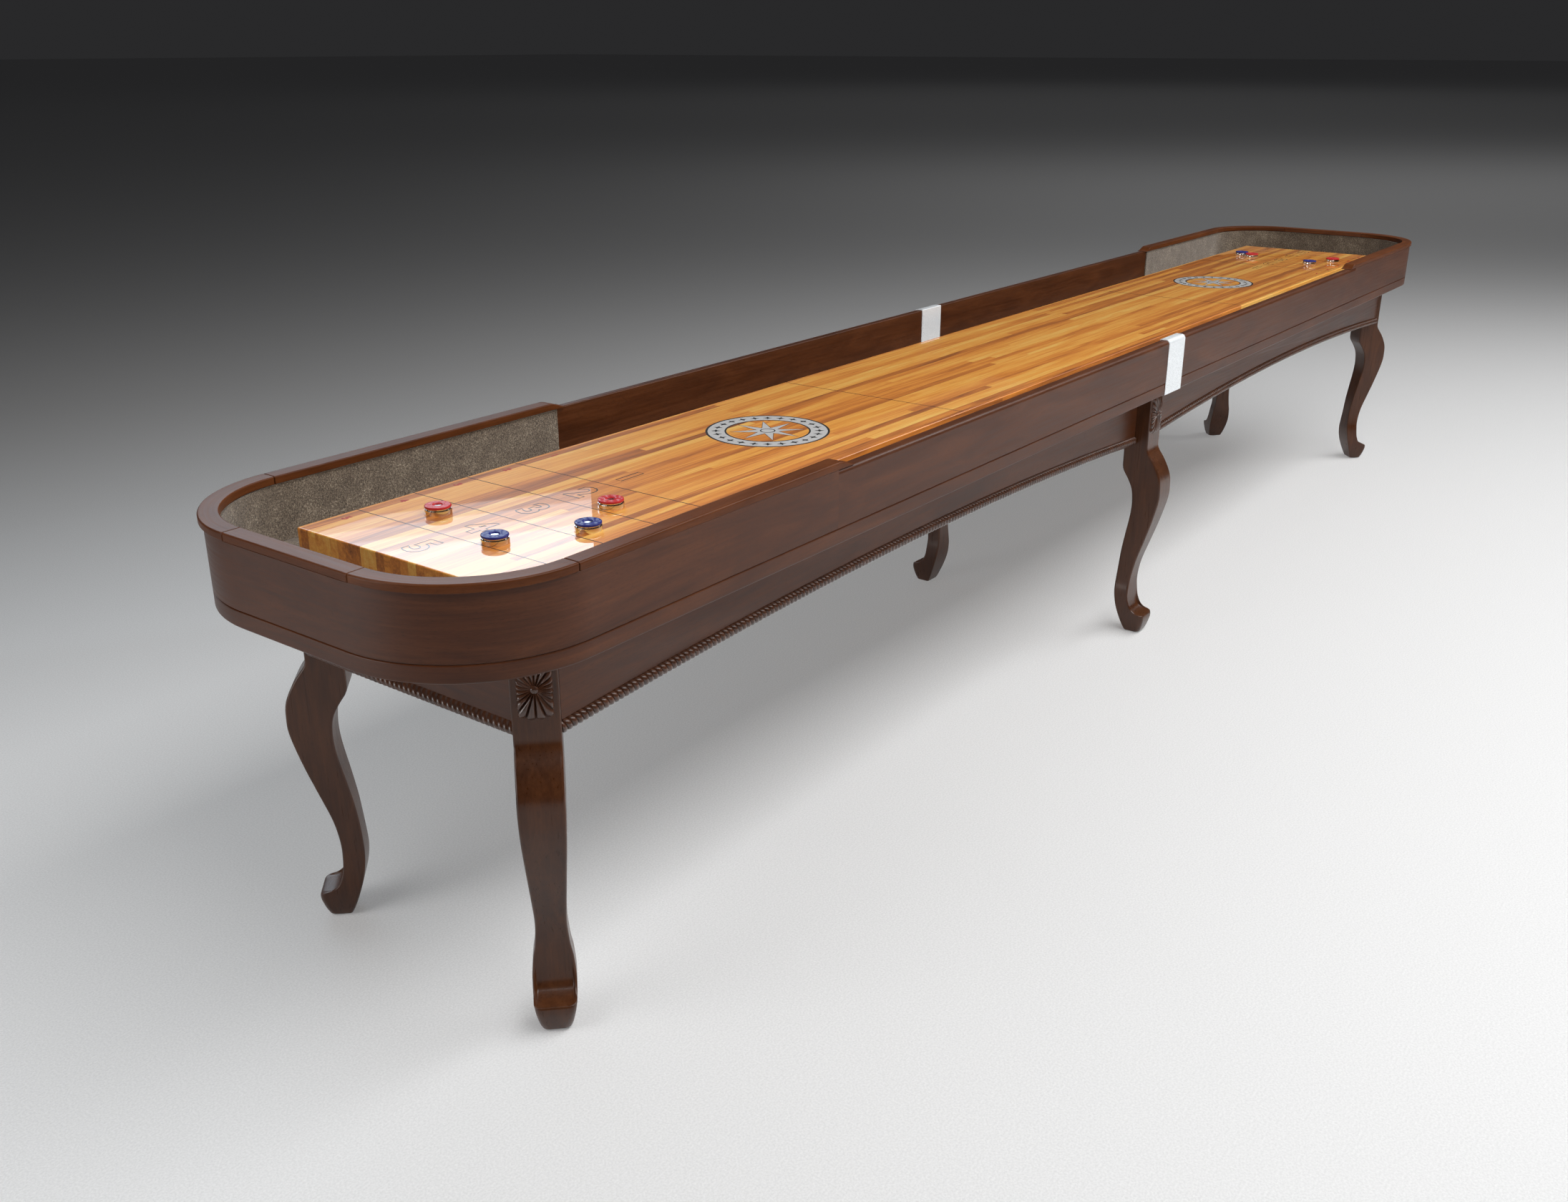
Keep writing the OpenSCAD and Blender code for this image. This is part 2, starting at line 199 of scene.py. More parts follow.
def carved_wood():
    """Wood with painted shade darkening the hollows."""
    n = Nodes("carved_walnut")
    grain = n.grain()
    cloud = n.noise(n.stretch(grain, (3, 12, 12)), 4, 4, 0.6, 0.8)
    point = n.add("ShaderNodeNewGeometry").outputs["Pointiness"]
    # painted shade: the hollows, found by pointiness, are mixed towards near-black
    hollow_shade = n.level(point, 0.42, 0.52)
    body = n.ramp(cloud, (0.3, (0.040, 0.0135, 0.0055)), (0.7, (0.084, 0.030, 0.0135)))
    colour = n.mix(hollow_shade, (0.012, 0.005, 0.003, 1), body)
    n.set(Base_Color=colour, Coat_Weight=0.8, Coat_Roughness=0.12, Coat_IOR=1.5, Roughness=0.35,
          Specular_IOR_Level=0.3)
    return n.mat


STRIP_W = 0.0208        # width of one strip of the board, in metres


def board_wood():
    """Laminated maple: narrow strips of many tones with butt joints, under thick clear lacquer."""
    n = Nodes("board_maple")
    place = n.place()
    split = n.add("ShaderNodeSeparateXYZ", {0: place})
    across = n.math("MULTIPLY", split.outputs["Y"], 1 / STRIP_W)
    strip = n.math("FLOOR", across)
    shift = n.add("ShaderNodeTexWhiteNoise", {"W": strip}, noise_dimensions="1D").outputs[0]
    along = n.math("ADD", n.math("MULTIPLY", split.outputs["X"], 0.62),
                   n.math("MULTIPLY", shift, 7.3))
    stick = n.math("FLOOR", along)
    cell = n.add("ShaderNodeCombineXYZ", {"X": strip, "Y": stick}).outputs[0]
    tone = n.add("ShaderNodeTexWhiteNoise", {"Vector": cell}, noise_dimensions="3D")
    offset = n.add("ShaderNodeVectorMath", {0: place, 1: tone.outputs["Color"]},
                   operation="ADD").outputs[0]
    cloud = n.noise(n.stretch(offset, (1.3, 22, 22)), 1.6, 5, 0.6, 1.6)
    streak = n.noise(n.stretch(offset, (3, 260, 260)), 1.0, 4, 0.6)
    fine = n.noise(n.stretch(offset, (30, 900, 900)), 1.0, 2, 0.6)
    value = n.math("ADD", n.math("MULTIPLY", tone.outputs["Value"], 0.40),
                   n.math("MULTIPLY", cloud, 0.74))
    value = n.math("ADD", value, n.math("MULTIPLY", n.math("SUBTRACT", streak, 0.5), 0.35))
    colour = n.ramp(
        value, (0.22, (0.22, 0.060, 0.008)), (0.38, (0.46, 0.138, 0.017)),
        (0.52, (0.69, 0.236, 0.029)), (0.68, (0.84, 0.370, 0.057)), (0.90, (0.92, 0.570, 0.14)))
    colour = n.mix(n.math("MULTIPLY", n.level(fine, 0.56, 0.72), 0.30), colour,
                   (0.24, 0.075, 0.016, 1))
    edge = n.math("ABSOLUTE", n.math("SUBTRACT", n.math("FRACT", across), 0.5))
    joint = n.level(edge, 0.487, 0.497)
    colour = n.mix(n.math("MULTIPLY", joint, 0.35), colour, (0.16, 0.05, 0.012, 1))
    n.set(Base_Color=colour, Roughness=0.42, Coat_Weight=1.0, Coat_Roughness=0.02,
          Coat_IOR=1.52)
    return n.mat


def carpet():
    """Loop pile in grey-brown, flecked with beige, with painted shade between the tufts."""
    n = Nodes("carpet")
    place = n.place()
    tuft = n.add("ShaderNodeTexVoronoi", {"Vector": place, "Scale": 420.0})
    fleck = n.noise(place, 300, 3, 0.7)
    patch = n.noise(place, 22, 3, 0.6)
    value = n.math("ADD", n.math("MULTIPLY", fleck, 0.75), n.math("MULTIPLY", patch, 0.25))
    colour = n.ramp(
        value, (0.36, (0.075, 0.054, 0.037)), (0.48, (0.150, 0.113, 0.080)),
        (0.57, (0.215, 0.168, 0.120)), (0.66, (0.42, 0.35, 0.26)))
    # painted shade: the colour darkens towards each tuft's edge, down between the loops
    colour = n.mix(n.level(tuft.outputs["Distance"], 0.35, 1.25), colour,
                   (0.03, 0.022, 0.016, 1))
    n.set(Base_Color=colour, Roughness=0.95, Sheen_Weight=0.25, Sheen_Roughness=0.5,
          Specular_IOR_Level=0.15)
    n.bump(n.math("SUBTRACT", 1.0, tuft.outputs["Distance"]), 0.6, 1.4)
    return n.mat


def metal(name, colour, rough, scratch=(4, 600, 4), spread=0.12):
    """Bare metal, brushed the way that scratch stretches its noise."""
    n = Nodes(name)
    brush = n.noise(n.stretch(n.place(), scratch), 1.0, 3, 0.6)
    tint = n.mix(n.math("MULTIPLY", brush, 0.25), (*colour, 1),
                 (*[0.75 * c for c in colour], 1))
    n.set(Base_Color=tint, Metallic=1.0)
    n.set(Roughness=n.level(brush, 0.25, 0.75, rough - spread, rough + spread))
    return n.mat


def band_metal():
    """Pale anodised strap with a fine sparkle."""
    n = Nodes("band_silver")
    sparkle = n.noise(n.place(), 900, 1, 0.5)
    colour = n.ramp(sparkle, (0.35, (0.66, 0.69, 0.71)), (0.65, (0.90, 0.93, 0.95)))
    n.set(Base_Color=colour, Metallic=0.25, Coat_Weight=0.3, Coat_Roughness=0.2)
    n.set(Roughness=n.level(sparkle, 0.0, 1.4))
    n.bump(sparkle, 0.15, 0.2)
    return n.mat


def plastic(name, colour, rough):
    """Moulded plastic, a little mottled by wear."""
    n = Nodes(name)
    mottle = n.noise(n.place(), 90, 3, 0.6)
    tint = n.mix(n.math("MULTIPLY", mottle, 0.5), (*colour, 1),
                 (*[0.6 * c for c in colour], 1))
    n.set(Base_Color=tint, Coat_Weight=0.15, Coat_Roughness=0.15, Specular_IOR_Level=0.35)
    n.set(Roughness=n.level(mottle, 0.0, 1.0, rough - 0.06, rough + 0.12))
    n.bump(n.noise(n.place(), 700, 2, 0.5), 0.1, 0.1)
    return n.mat


def print_ink(name, colour, speckle=0.3):
    """Screen-printed ink under the board's clear lacquer."""
    n = Nodes(name)
    grain = n.noise(n.place(), 500, 2, 0.6)
    tint = n.mix(n.math("MULTIPLY", grain, speckle), (*colour, 1),
                 (*[0.5 * c for c in colour], 1))
    n.set(Base_Color=tint, Roughness=0.5, Coat_Weight=1.0, Coat_Roughness=0.02, Coat_IOR=1.52)
    return n.mat


def raw_wood():
    """Unfinished pine for the parts inside the frame."""
    n = Nodes("raw_pine")
    place = n.place()
    ring = n.noise(n.stretch(place, (60, 3, 60)), 1.0, 4, 0.6, 0.6)
    colour = n.ramp(ring, (0.3, (0.30, 0.17, 0.07)), (0.7, (0.56, 0.37, 0.19)))
    n.set(Base_Color=colour, Roughness=0.75)
    n.bump(ring, 0.2, 0.3)
    return n.mat


WALL = walnut("wall_walnut", (0.030, 0.0076, 0.0020), (0.061, 0.0168, 0.0044),
              (0.100, 0.030, 0.0084), gloss=0.27)
CAPS = walnut("cap_walnut", (0.046, 0.012, 0.0030), (0.088, 0.0250, 0.0064),
              (0.136, 0.042, 0.0115), gloss=0.12)
LEG = walnut("leg_walnut", (0.028, 0.0082, 0.0024), (0.052, 0.0163, 0.0050),
             (0.082, 0.0275, 0.0086), rough=0.31, coat=0.35, figure=1.6)
CARVED = carved_wood()
BOARD = board_wood()
CARPET = carpet()
BAND = band_metal()
CHROME = metal("puck_chrome", (0.80, 0.79, 0.77), 0.07, (300, 300, 2000), 0.04)
ZINC = metal("zinc_steel", (0.46, 0.47, 0.48), 0.38)
RED = plastic("red_plastic", (0.50, 0.014, 0.018), 0.32)
BLUE = plastic("blue_plastic", (0.014, 0.020, 0.17), 0.32)
BLACK_INK = print_ink("black_ink", (0.012, 0.010, 0.009))
SILVER_INK = print_ink("silver_ink", (0.62, 0.61, 0.60), 0.4)
RED_INK = print_ink("red_ink", (0.42, 0.02, 0.015))
PINE = raw_wood()


# ---------------------------------------------------------------------------
# Mesh helpers: all take millimetres
# ---------------------------------------------------------------------------
def add_object(name, data):
    item = bpy.data.objects.new(name, data)
    bpy.context.scene.collection.objects.link(item)
    return item


def make(name, verts, faces, material, slot, body="table", grain=None, replaces=(),
         sharp=35, merge=0.0):
    """A closed piece. grain gives each vertex its place in the wood: along, across, through."""
    mesh = bpy.data.meshes.new(name)
    mesh.from_pydata([(v[0] * MM, v[1] * MM, v[2] * MM) for v in verts], [], faces)
    if grain:
        layer = mesh.attributes.new("grain", "FLOAT_VECTOR", "POINT")
        for item, g in zip(layer.data, grain):
            item.vector = (g[0] * MM, g[1] * MM, g[2] * MM)
    tidy(mesh, merge, sharp)
    piece = add_object(name, mesh)
    mesh.materials.append(material)
    flat = piece.modifiers.new("flat_faces", "WEIGHTED_NORMAL")
    flat.weight = 100
    flat.keep_sharp = True
    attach(piece, body)
    if replaces:
        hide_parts(*replaces)
    return piece


def tidy(mesh, merge, sharp):
    """Merges doubles, turns every face outwards and marks the sharp edges."""
    work = bmesh.new()
    work.from_mesh(mesh)
    if merge:
        bmesh.ops.remove_doubles(work, verts=work.verts, dist=merge * MM)
    bmesh.ops.recalc_face_normals(work, faces=work.faces)
    work.to_mesh(mesh)
    work.free()
    mesh.shade_smooth()
    mesh.set_sharp_from_angle(angle=math.radians(sharp))


def loft(rings, closed=False):
    """Faces between rings of equal length, capped at both ends unless the loft is closed."""
    m = len(rings[0])
    verts = [v for ring in rings for v in ring]
    faces = []
    for i in range(len(rings) if closed else len(rings) - 1):
        a, b = i * m, (i + 1) % len(rings) * m
        faces += [(a + j, a + (j + 1) % m, b + (j + 1) % m, b + j) for j in range(m)]
    if not closed:
        faces.append(tuple(range(m)))
        faces.append(tuple(range(len(verts) - m, len(verts))))
    return verts, faces


def arc(cx, cy, r, a0, a1, n):
    """Points on an arc, angles in degrees."""
    angles = [math.radians(a0 + (a1 - a0) * k / n) for k in range(n + 1)]
    return [(cx + r * math.cos(a), cy + r * math.sin(a)) for a in angles]


def rounded(u0, u1, z0, z1, radii, n):
    """A rectangle with rounded corners: low inner, low outer, top outer, top inner."""
    a, b, c, d = radii
    return (arc(u0 + a, z0 + a, a, 180, 270, n) + arc(u1 - b, z0 + b, b, 270, 360, n)
            + arc(u1 - c, z1 - c, c, 0, 90, n) + arc(u0 + d, z1 - d, d, 90, 180, n))


def end_path(x0, step=8):
    """Plan of a far end's outer wall face from x0 on the right round to x0 on the left.

    Each point is x, y, outward normal x and y, and the distance along the path."""
    cx, cy = HALF_L - WALL_R, HALF_W - WALL_R
    turn = max(8, int(WALL_R * math.pi / 2 / step))
    points = [(x0, -HALF_W, 0, -1), (cx - 1, -HALF_W, 0, -1)]
    points += corner(cx, -cy, WALL_R, -90, 0, turn)
    points += corner(cx, cy, WALL_R, 0, 90, turn)
    points += [(cx - 1, HALF_W, 0, 1), (x0, HALF_W, 0, 1)]
    return with_length(points)


def corner(cx, cy, r, a0, a1, n):
    """Points on an arc with their outward normals."""
    turn = [math.radians(a0 + (a1 - a0) * k / n) for k in range(n + 1)]
    return [(cx + r * math.cos(a), cy + r * math.sin(a), math.cos(a), math.sin(a))
            for a in turn]


def with_length(points):
    """Adds the distance along the path to each point."""
    out, s = [], 0.0
    for i, p in enumerate(points):
        if i:
            s += math.dist(p[:2], points[i - 1][:2])
        out.append((*p, s))
    return out


def densify(path, step):
    """Adds points along the long straight stretches of a path."""
    out = [path[0]]
    for a, b in zip(path, path[1:]):
        n = max(1, round((b[4] - a[4]) / step))
        out += [tuple(p + (q - p) * k / n for p, q in zip(a, b)) for k in range(1, n + 1)]
    return out


def mirrored(path, side):
    """The same path at the near end when side is -1."""
    return [(side * p[0], p[1], side * p[2], p[3], p[4]) for p in path]


def drawn_in(section, d):
    """A section with its sides and top moved in by d."""
    us, zs = zip(*section)
    return [(min(max(u, min(us) + d), max(us) - d), min(z, max(zs) - d)) for u, z in section]


def between(a, b, d):
    """The path point at distance d from a towards b."""
    t = d / math.dist(a[:2], b[:2])
    return tuple(p + (q - p) * t for p, q in zip(a, b))


GRAIN_START = 777       # where a swept piece starts along the wood's figure


def sweep(path, section, ease=0.0):
    """Runs a section (outward distance, height) along a path, its end edges eased over."""
    stations = [(p, section) for p in path]
    if ease:
        end = drawn_in(section, ease)
        stations = [(path[0], end), (between(path[0], path[1], ease), section),
                    *stations[1:-1],
                    (between(path[-1], path[-2], ease), section), (path[-1], end)]
    rings = [[(p[0] + p[2] * u, p[1] + p[3] * u, z) for u, z in part] for p, part in stations]
    grain = [(p[4] + GRAIN_START, z * 0.9, u) for p, part in stations for u, z in part]
    verts, faces = loft(rings)
    return verts, faces, grain


def extent(a, b):
    """A straight path between two points with normals."""
    return [(a[0], a[1], a[2], a[3], 0.0), (b[0], b[1], b[2], b[3], math.dist(a[:2], b[:2]))]


def joined(parts):
    """Several (verts, faces, grain) as one."""
    verts, faces, grain = [], [], []
    for v, f, g in parts:
        start = len(verts)
        verts += v
        grain += g
        faces += [tuple(i + start for i in face) for face in f]
    return verts, faces, grain


def lathe(profile, centre, n=72):
    """Turns (radius, height) points about a vertical axis. The ends lie on the axis."""
    rings = []
    for r, z in profile[1:-1]:
        rings.append([(centre[0] + r * math.cos(2 * math.pi * k / n),
                       centre[1] + r * math.sin(2 * math.pi * k / n),
                       centre[2] + z) for k in range(n)])
    verts = [v for ring in rings for v in ring]
    faces = []
    for i in range(len(rings) - 1):
        faces += [(i * n + k, i * n + (k + 1) % n, (i + 1) * n + (k + 1) % n, (i + 1) * n + k)
                  for k in range(n)]
    foot, top = len(verts), len(verts) + 1
    verts += [(centre[0], centre[1], centre[2] + profile[0][1]),
              (centre[0], centre[1], centre[2] + profile[-1][1])]
    last = (len(rings) - 1) * n
    faces += [(foot, (k + 1) % n, k) for k in range(n)]
    faces += [(top, last + k, last + (k + 1) % n) for k in range(n)]
    return verts, faces


def spline(points, steps):
    """A smooth curve through a list of 2-D points."""
    out = []
    last = len(points) - 1
    for i in range(last):
        p, q = points[max(i - 1, 0)], points[i]
        r, s = points[i + 1], points[min(i + 2, last)]
        for k in range(steps):
            t = k / steps
            out.append(tuple(0.5 * (2 * b + (c - a) * t + (2 * a - 5 * b + 4 * c - d) * t * t
                                    + (3 * b - a - 3 * c + d) * t ** 3)
                             for a, b, c, d in zip(p, q, r, s)))
    out.append(points[last])
    return out


def lookup(curve, z):
    """The curve's first coordinate at height z. The curve rises all the way."""
    for (u0, z0), (u1, z1) in zip(curve, curve[1:]):
        if z <= z1:
            return u0 + (u1 - u0) * (z - z0) / (z1 - z0)
    return curve[-1][0]


def smooth(t):
    """Eases from 0 to 1 as t goes from 0 to 1."""
    t = min(max(t, 0.0), 1.0)
    return t * t * (3 - 2 * t)


def ease_edges(piece, width, segments, angle):
    bevel = piece.modifiers.new("eased_edges", "BEVEL")
    bevel.width = width * MM
    bevel.segments = segments
    bevel.limit_method = "ANGLE"
    bevel.angle_limit = math.radians(angle)
    return bevel


def softened(node, material, along=X):
    """A copy of a CAD node with its edges eased."""
    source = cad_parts[node]
    mesh = source.data.copy()
    mesh.materials.clear()
    work = bmesh.new()
    work.from_mesh(mesh)
    bmesh.ops.remove_doubles(work, verts=work.verts, dist=0.02 * MM)
    bmesh.ops.dissolve_limit(work, angle_limit=math.radians(0.4), verts=work.verts,
                             edges=work.edges)
    work.to_mesh(mesh)
    work.free()
    layer = mesh.attributes.new("grain", "FLOAT_VECTOR", "POINT")
    other = Y if along == X else X
    for item, v in zip(layer.data, mesh.vertices):
        item.vector = (v.co[along], v.co[Z], v.co[other])
    mesh.shade_smooth()
    mesh.set_sharp_from_angle(angle=math.radians(35))
    piece = add_object(node + "_finished", mesh)
    mesh.materials.append(material)
    ease_edges(piece, 1.0, 3, 40).harden_normals = True
    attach(piece, "table")
    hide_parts(node)
    return piece


# ---------------------------------------------------------------------------
# Cabinet
# ---------------------------------------------------------------------------
def low_rails():
    section = rounded(-WALL_T, 0, SEAM_Z, RAIL_Z, (1, 1.5, 10, 3), 6)
    for end, sx in (("near", -1), ("far", 1)):
        for hand, sy in (("right", -1), ("left", 1)):
            node = f"low_rail_{end}_{hand}"
            path = extent((0.2 * sx, sy * HALF_W, 0, sy),
                          (sx * (SPLIT_X - 0.05), sy * HALF_W, 0, sy))
            verts, faces, grain = sweep(path, section)
            shift = 3000 * sx + 900 * sy  # so that no two rails share a figure
            grain = [(g[0] + shift, g[1], g[2]) for g in grain]
            make(node + "_wood", verts, faces, WALL, "cabinet", grain=grain, replaces=(node,))


def end_walls():
    section = rounded(-WALL_T, 0, SEAM_Z, RAIL_Z, (1, 1.5, 1, 1), 3)
    for end, sx in (("near", -1), ("far", 1)):
        path = mirrored(end_path(SPLIT_X + 0.05), sx)
        verts, faces, grain = sweep(path, section)
        make(f"end_wall_{end}_wood", verts, faces, WALL, "cabinet", grain=grain,
             replaces=(f"end_wall_{end}",))


CAP_EASE = 1.4          # easing of the caps' ends, which makes their joints show


def cap_section():
    return rounded(-CAP_W, 0, RAIL_Z, CAP_Z, (1, 1.5, 4, 3), 5)


def corner_caps():
    parts = []
    for sx in (-1, 1):
        for sy in (-1, 1):
            path = with_length(corner(CAP_X, CAP_Y, CAP_R, 0.15, 89.85, 48))
            path = [(sx * p[0], sy * p[1], sx * p[2], sy * p[3], p[4] + 500 * sx + 190 * sy)
                    for p in path]
            parts.append(sweep(path, cap_section(), CAP_EASE))
    verts, faces, grain = joined(parts)
    make("corner_caps_wood", verts, faces, CAPS, "cap", grain=grain, replaces=("corner_caps",))


def side_caps():
    """Straight caps whose inner ends fall to the low rail in an ogee."""
    parts = []
    ogee = 50
    stops = [(STEP_X + ogee * k / 20, 0.0) for k in range(21)]
    stops += [(CAP_X - 0.5 - CAP_EASE, 0.0), (CAP_X - 0.5, CAP_EASE)]
    for sx in (-1, 1):
        for sy in (-1, 1):
            rings, grain = [], []
            for x, inset in stops:
                # 1 mm high at the tip, full height past the ogee
                fall = (1 - math.cos(math.pi * min((x - STEP_X) / ogee, 1))) / 2
                scale = (1 + (CAP_Z - RAIL_Z - 1) * fall) / (CAP_Z - RAIL_Z)
                ring = [(u, RAIL_Z + (z - RAIL_Z) * scale)
                        for u, z in drawn_in(cap_section(), inset)]
                rings.append([(sx * x, sy * (HALF_W + u), z) for u, z in ring])
                grain += [(x + 700 * sx + 260 * sy, z, u) for u, z in ring]
            verts, faces = loft(rings)
            parts.append((verts, faces, grain))
    verts, faces, grain = joined(parts)
    make("side_caps_wood", verts, faces, CAPS, "cap", grain=grain, replaces=("side_caps",))


def end_caps():
    parts = []
    for sx in (-1, 1):
        path = extent((sx * HALF_L, -CAP_Y + 0.5, sx, 0), (sx * HALF_L, CAP_Y - 0.5, sx, 0))
        parts.append(sweep(path, cap_section(), CAP_EASE))
    verts, faces, grain = joined(parts)
    make("end_caps_wood", verts, faces, CAPS, "cap", grain=grain, replaces=("end_caps",))


def base_halves():
    """The platform: its edge is the band below the shadow groove."""
    edge = [(-8, BASE_Z), (-4, BASE_Z), (-2, BASE_Z + 0.5), (-0.6, BASE_Z + 2), (0, BASE_Z + 4),
            (0, SEAM_Z - 4), (-0.5, SEAM_Z - 2.8), (-1.6, SEAM_Z - 2.2), (-3, SEAM_Z - 2),
            (-3, SEAM_Z)]
    for end, sx in (("near", -1), ("far", 1)):
        path = mirrored(end_path(0.2), sx)
        rings = [[(p[0] + p[2] * u, p[1] + p[3] * u, z) for p in path] for u, z in edge]
        grain = [(p[4] + 4000 * sx, z, u) for u, z in edge for p in path]
        verts, faces = loft(rings)
        make(f"base_{end}_wood", verts, faces, WALL, "cabinet", grain=grain,
             replaces=(f"base_{end}",))


def aprons():
    for end in ("near", "far"):
        for hand in ("right", "left"):
            softened(f"side_apron_{end}_{hand}", WALL)
        softened(f"end_apron_{end}", WALL, along=Y)


def centre_bands():
    """Folded metal straps over the rails, down to the base outside and the gutter inside."""
    t = high("centre_bands", Z) - RAIL_Z
    inside, outside = -WALL_T - t, t
    outer = (arc(inside + 3, RAIL_Z + t - 3, 3, 180, 90, 5)
             + arc(outside - 12, RAIL_Z + t - 12, 12, 90, 0, 8))
    inner = (arc(-10, RAIL_Z - 10, 10, 0, 90, 8) + arc(-WALL_T + 1, RAIL_Z - 1, 1, 90, 180, 5))
    section = ([(inside, SEAM_Z + CARPET_T)] + outer + [(outside, BASE_Z), (0, BASE_Z)]
               + inner + [(-WALL_T, SEAM_Z + CARPET_T)])
    parts = []
    for sy in (-1, 1):
        path = extent((-BAND_X, sy * HALF_W, 0, sy), (BAND_X, sy * HALF_W, 0, sy))
        parts.append(sweep(path, section))
    verts, faces = joined(parts)[:2]
    band = make("centre_bands_metal", verts, faces, BAND, "band", replaces=("centre_bands",),
                sharp=30)
    ease_edges(band, 0.4, 2, 50)
    band.modifiers.move(1, 0)  # the bevel goes before the weighted normals


# ---------------------------------------------------------------------------
# Carpet: real meshes with an uneven pile
# ---------------------------------------------------------------------------
def pile(x, y, z):
    """Height of the pile above its mean, in millimetres."""
    fine = noise.noise(Vector((x / 3.1, y / 3.1, z / 3.1)))
    coarse = noise.noise(Vector((x / 40, y / 40, z / 40 + 9)))
    return 0.45 * fine + 0.35 * coarse


def wall_carpets():
    step = 6
    z0, z1 = SEAM_Z + CARPET_T, high("wall_carpet_far", Z)
    rows = [z0 + (z1 - z0) * k / 24 for k in range(25)]
    for end, sx in (("near", -1), ("far", 1)):
        path = mirrored(densify(end_path(CARPET_X, step), step), sx)
        rings = []
        for x, y, nx, ny, _ in path:
            ring = [(x - nx * WALL_T, y - ny * WALL_T, z) for z in (rows[0], rows[-1])]
            for z in reversed(rows):
                u = -WALL_T - CARPET_T + 0.8 + pile(x, y, z)
                ring.append((x + nx * u, y + ny * u, z))
            rings.append(ring)
        verts, faces = loft(rings)
        make(f"wall_carpet_{end}_pile", verts, faces, CARPET, "carpet",
             replaces=(f"wall_carpet_{end}",), sharp=70)


def gutter_carpet():
    """A flat sheet round the board, from its edge to the walls."""
    lanes = 20
    half = densify(end_path(0, 7), 7)
    path = half + [(-p[0], -p[1], -p[2], -p[3], p[4]) for p in half[1:-1]]
    rings = []
    for x, y, nx, ny, _ in path:
        far = (x - nx * WALL_T, y - ny * WALL_T)
        near = (min(max(far[0], -BOARD_X), BOARD_X), min(max(far[1], -BOARD_Y), BOARD_Y))
        ring = [(*far, SEAM_Z)]
        for k in range(lanes + 1):
            px = far[0] + (near[0] - far[0]) * k / lanes
            py = far[1] + (near[1] - far[1]) * k / lanes
            ring.append((px, py, SEAM_Z + CARPET_T - 0.8 + pile(px, py, 0)))
        ring.append((*near, SEAM_Z))
        rings.append(ring)
    verts, faces = loft(rings, closed=True)
    make("gutter_carpet_pile", verts, faces, CARPET, "carpet", replaces=("gutter_carpet",),
         sharp=70, merge=0.05)


# ---------------------------------------------------------------------------
# Playfield and its printing
# ---------------------------------------------------------------------------
INK_T = 0.2             # thickness of the printed lines
LINE_W = 2.1
LINE_X = (2230, 2098, 1965, 1837, 905)
DIGIT_X = {5: 2294, 4: 2164, 3: 2031, 2: 1901, 1: 1769}
EMBLEM_X = 1318
EMBLEM_R = 136


def playfield():
    """The board, its top edges rounded over."""
    plan = arc(BOARD_X - 3, BOARD_Y - 3, 3, 0, 90, 4)
    plan += [(-x, y) for x, y in reversed(plan)]
    plan += [(x, -y) for x, y in reversed(plan)]
    rings = []
    for inset, z in [(0, SEAM_Z)] + [(3 - 3 * math.cos(a), BOARD_Z - 3 + 3 * math.sin(a))
                                     for a in [math.pi * k / 12 for k in range(7)]]:
        rings.append([(x - math.copysign(inset, x), y - math.copysign(inset, y), z)
                      for x, y in plan])
    verts, faces = loft(rings)
    make("playfield_board", verts, faces, BOARD, "playfield", replaces=("playfield",), sharp=40)


def ribbon(points, width, closed=True):
    """A thin line printed on the board along 2-D points."""
    n = len(points)
    z = BOARD_Z
    rings = []
    for i, p in enumerate(points):
        a = points[i - 1] if closed or i else p
        b = points[(i + 1) % n] if closed or i < n - 1 else p
        dx, dy = b[0] - a[0], b[1] - a[1]
        size = math.hypot(dx, dy) or 1
        ux, uy = -dy / size * width / 2, dx / size * width / 2
        rings.append([(p[0] - ux, p[1] - uy, z), (p[0] + ux, p[1] + uy, z),
                      (p[0] + ux, p[1] + uy, z + INK_T), (p[0] - ux, p[1] - uy, z + INK_T)])
    verts, faces = loft(rings, closed)
    return verts, faces, []


def plate(outline, thick=INK_T):
    """A thin flat plate printed on the board."""
    return *loft([[(x, y, z) for x, y in outline] for z in (BOARD_Z, BOARD_Z + thick)]), []


def digit_outlines(digit, height, fat):
    """Outline loops of a plain numeral, in millimetres, centred, its top towards +X."""
    data = bpy.data.curves.new("numeral", "FONT")
    data.body = str(digit)
    data.size = 1
    data.offset = fat
    data.resolution_u = 6
    data.align_x = "CENTER"
    text = add_object("numeral", data)
    mesh = text.evaluated_get(bpy.context.evaluated_depsgraph_get()).to_mesh()
    work = bmesh.new()
    work.from_mesh(mesh)
    bmesh.ops.remove_doubles(work, verts=work.verts, dist=0.0005)
    links = {}
    for e in (e for e in work.edges if len(e.link_faces) == 1):
        for a, b in (e.verts, reversed(e.verts)):
            links.setdefault(a.index, []).append(b.index)
    place = {v.index: v.co.copy() for v in work.verts}
    loops, seen = [], set()
    for start in links:
        if start in seen:
            continue
        loop, here = [], start
        while here not in seen:
            seen.add(here)
            loop.append(here)
            here = next((k for k in links[here] if k not in seen), here)
        loops.append([place[i] for i in loop])
    work.free()
    bpy.data.objects.remove(text)
    xs = [p.x for loop in loops for p in loop]
    ys = [p.y for loop in loops for p in loop]
    mid_x, mid_y = (max(xs) + min(xs)) / 2, (max(ys) + min(ys)) / 2
    k = height / (max(ys) - min(ys))
    return [[((p.y - mid_y) * k, -(p.x - mid_x) * k) for p in loop] for loop in loops]


